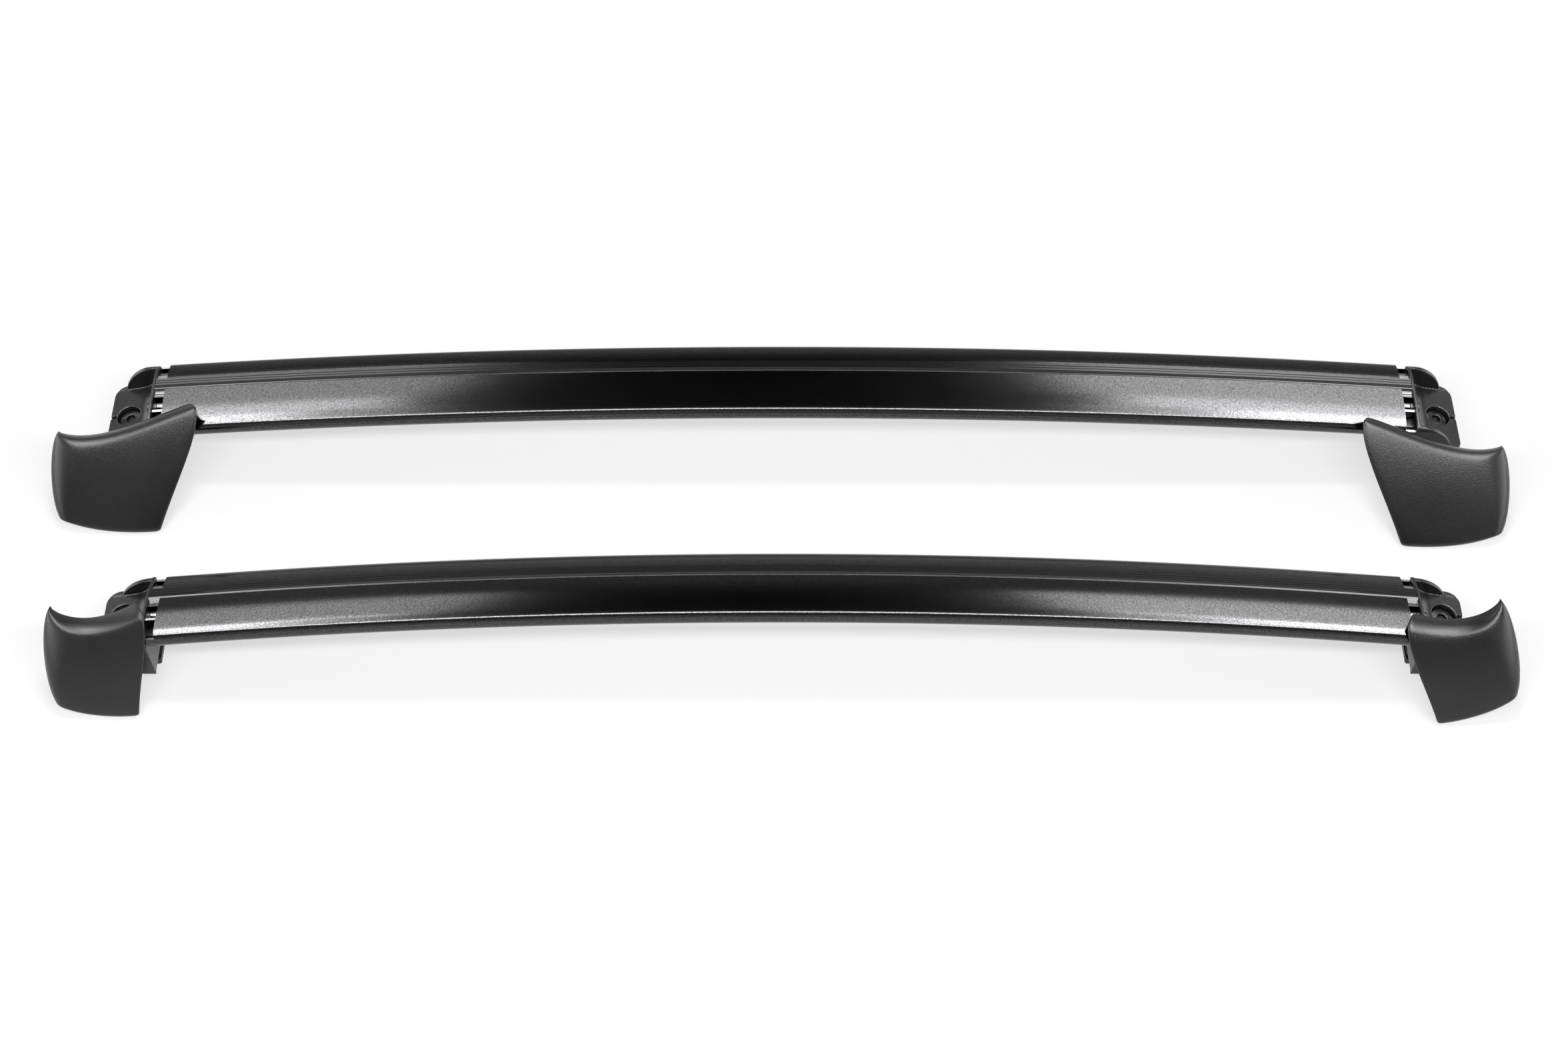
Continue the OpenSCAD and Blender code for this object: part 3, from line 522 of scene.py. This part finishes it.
def castBracket(node):
    # the bracket's edges rounded as a die casting's are
    shape = bracketShape
    mesh = withModifiers(meshFrom(mergedCopy(node), node), [
        ("REMESH", {"mode": "VOXEL", "voxel_size": shape["voxel"] * mm,
                    "use_smooth_shade": True}),
        ("SMOOTH", {"iterations": shape["smoothing"], "factor": shape["factor"]})])
    mesh.shade_smooth()
    addPiece(node + "_piece", mesh, "casting", [node])


coverShape = {"foldAngle": 60, "cornerAngle": 120, "levels": 2}


def mouldedCover(node):
    # the cover's shell as quads, subdivided so that its rolls are smooth
    shape = coverShape
    made = mergedCopy(node)
    bmesh.ops.join_triangles(made, faces=made.faces,
                             angle_face_threshold=math.radians(shape["foldAngle"]),
                             angle_shape_threshold=math.radians(shape["cornerAngle"]))
    mesh = withModifiers(meshFrom(made, node), [
        ("SUBSURF", {"levels": shape["levels"], "render_levels": shape["levels"]})])
    mesh.shade_smooth()
    addPiece(node + "_piece", mesh, "coverPlastic", [node])


for node in sorted(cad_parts):
    if node.endswith("_bracket"):
        castBracket(node)
    if node.endswith("_end_cover"):
        mouldedCover(node)
print("castings and covers dressed")


# Table, lamps and camera: their sizes are in metres

# inside an oval of this reach the table takes shadows, and past its fade it is plain white
tableLook = {"shade": 0.97, "ownWhite": 0.6, "size": 40, "middle": (0, 0.02, 0),
             "reach": (0.72, 0.27, 1), "fade": (0.95, 1.25)}


def seenDirectly(tree):
    # 1 for rays from the camera or from a gloss, which see the white table as it is
    camera = Wire.node(tree, "ShaderNodeLightPath", output="Is Camera Ray")
    gloss = camera.other("Is Glossy Ray")
    return Wire.node(tree, "ShaderNodeClamp", {}, {
        "Value": camera + gloss + camera.other("Is Transmission Ray")})


def makeTable():
    look = tableLook
    material, tree = newMaterial("whiteTable")
    lit = Wire.node(tree, "ShaderNodeBsdfDiffuse", {}, {"Color": (*[look["shade"]] * 3, 1)})
    white = Wire.node(tree, "ShaderNodeEmission", {}, {"Strength": 1.0})
    # round the object the table shows its shadows, and further out it is plain white
    nearness = Wire.node(tree, "ShaderNodeMapping", {"vector_type": "TEXTURE"}, {
        "Vector": position(tree), "Location": look["middle"], "Scale": look["reach"]})
    apart = Wire.node(tree, "ShaderNodeVectorMath", {"operation": "LENGTH"}, {0: nearness},
                      output="Value")
    nearEdge, farEdge = look["fade"]
    own = Wire.node(tree, "ShaderNodeMapRange", {"interpolation_type": "SMOOTHSTEP"}, {
        "Value": apart, "From Min": nearEdge, "From Max": farEdge,
        "To Min": look["ownWhite"], "To Max": 1.0})
    mixed = Wire.node(tree, "ShaderNodeMixShader", {}, {
        0: seenDirectly(tree) * own, 1: lit, 2: white})
    Wire.node(tree, "ShaderNodeOutputMaterial", {}, {"Surface": mixed})
    mesh = bpy.data.meshes.new("table")
    half = look["size"] / 2
    mesh.from_pydata([(-half, -half, 0), (half, -half, 0), (half, half, 0), (-half, half, 0)],
                     [], [(0, 1, 2, 3)])
    table = bpy.data.objects.new("table", mesh)
    table.data.materials.append(material)
    collection.objects.link(table)


lamps = {
    "frontStrip": {"at": (0, -1.2, 1.75), "aim": (0, 0.05, 0), "size": (2.4, 0.2),
                   "glow": 24, "diffuse": True, "glossy": True},
    "above": {"at": (0, 0.2, 2.2), "aim": (0, 0.2, 0), "size": (0.5, 0.25),
              "glow": 32, "diffuse": True, "glossy": False},
}
panelRow = {"height": 1.8, "shift": -0.05}
# panels overhead at each side, which only gloss sees: from and to along X and along Y, then
# the glow of the left one and of the right one
panels = {
    "main": ((0.84, 1.38), (-0.9, 0.75), (16.5, 18)),
    "inner": ((0.6, 0.84), (-0.9, 0.75), (3.4, 4.8)),
    "middle": ((0.66, 1.36), (0.75, 1.1), (8, 9)),
    "back": ((0.6, 1.6), (1.1, 2.25), (3.3, 5.0)),
    "corner": ((1.05, 1.7), (-1.35, -0.9), (7.0, 7.0)),
}
for name, (across, deep, glows) in panels.items():
    for side, sign, glow in zip(("Left", "Right"), (-1, 1), glows):
        x, y = sign * sum(across) / 2 + panelRow["shift"], sum(deep) / 2
        lamps[name + side] = {"at": (x, y, panelRow["height"]), "aim": (x, y, 0),
                              "size": (across[1] - across[0], deep[1] - deep[0]),
                              "glow": glow, "diffuse": False, "glossy": True}


def addLamp(name, lamp):
    data = bpy.data.lights.new(name, "AREA")
    data.shape = "RECTANGLE"
    data.size, data.size_y = lamp["size"]
    data.energy = lamp["glow"] * math.pi * data.size * data.size_y
    light = bpy.data.objects.new(name, data)
    collection.objects.link(light)
    light.visible_diffuse = lamp["diffuse"]
    light.visible_glossy = lamp["glossy"]
    light.location = lamp["at"]
    # its first size lies along X, whichever way it is aimed
    back = (Vector(lamp["at"]) - Vector(lamp["aim"])).normalized()
    side = (Vector((1, 0, 0)) - back * back.x).normalized()
    light.rotation_euler = Matrix((side, back.cross(side), back)).transposed().to_euler()


# what gloss sees round the object, by height, with a low glow at both sides; "fill" is what
# lights everything else
worldLook = {"stops": [(0.0, 0.7), (0.34, 0.45), (0.6, 0.06), (0.72, 0.004), (1.0, 0.003)],
             "fill": 0.2, "sides": [(0.0, 0), (0.6, 0), (0.95, 1)],
             "sideHeight": [(0.0, 1), (0.3, 1), (0.6, 0)], "sideGlow": 4.0}


def makeWorld():
    look = worldLook
    world = bpy.data.worlds.new("studio")
    world.use_nodes = True
    tree = world.node_tree
    tree.nodes.clear()
    way = Wire.node(tree, "ShaderNodeTexCoord", output="Generated")
    height = Wire.node(tree, "ShaderNodeSeparateXYZ", {}, {"Vector": way}, output="Z")
    aside = abs(height.other("X"))
    low = ramp(tree, aside, look["sides"]) * ramp(tree, height, look["sideHeight"])
    glow = ramp(tree, height, look["stops"]) + low * look["sideGlow"]
    diffuse = Wire.node(tree, "ShaderNodeLightPath", output="Is Diffuse Ray")
    camera = diffuse.other("Is Camera Ray")
    background = Wire.node(tree, "ShaderNodeBackground", {}, {
        "Color": glow * (1 - diffuse) * (1 - camera) + diffuse * look["fill"] + camera,
        "Strength": 1.0})
    Wire.node(tree, "ShaderNodeOutputWorld", {}, {"Surface": background})
    bpy.context.scene.world = world


cameraView = {"target": (0, 0.0384, 0), "elevation": 50, "distance": 2.121, "sensor": 36,
              "focalPixels": 4400, "pixels": 2352, "middle": 1175}


def makeCamera():
    view = cameraView
    data = bpy.data.cameras.new("view")
    data.sensor_width = view["sensor"]
    data.lens = view["focalPixels"] / view["pixels"] * data.sensor_width
    data.shift_x = (view["pixels"] / 2 - view["middle"]) / view["pixels"]
    camera = bpy.data.objects.new("view", data)
    collection.objects.link(camera)
    tilt = math.radians(view["elevation"])
    away = Vector((0, -math.cos(tilt), math.sin(tilt))) * view["distance"]
    camera.location = Vector(view["target"]) + away
    camera.rotation_euler = (math.pi / 2 - tilt, 0, 0)
    bpy.context.scene.camera = camera


makeTable()
makeWorld()
for name, lamp in lamps.items():
    addLamp(name, lamp)
makeCamera()
bpy.context.scene.view_settings.view_transform = "Standard"
print("table, lamps and camera set")
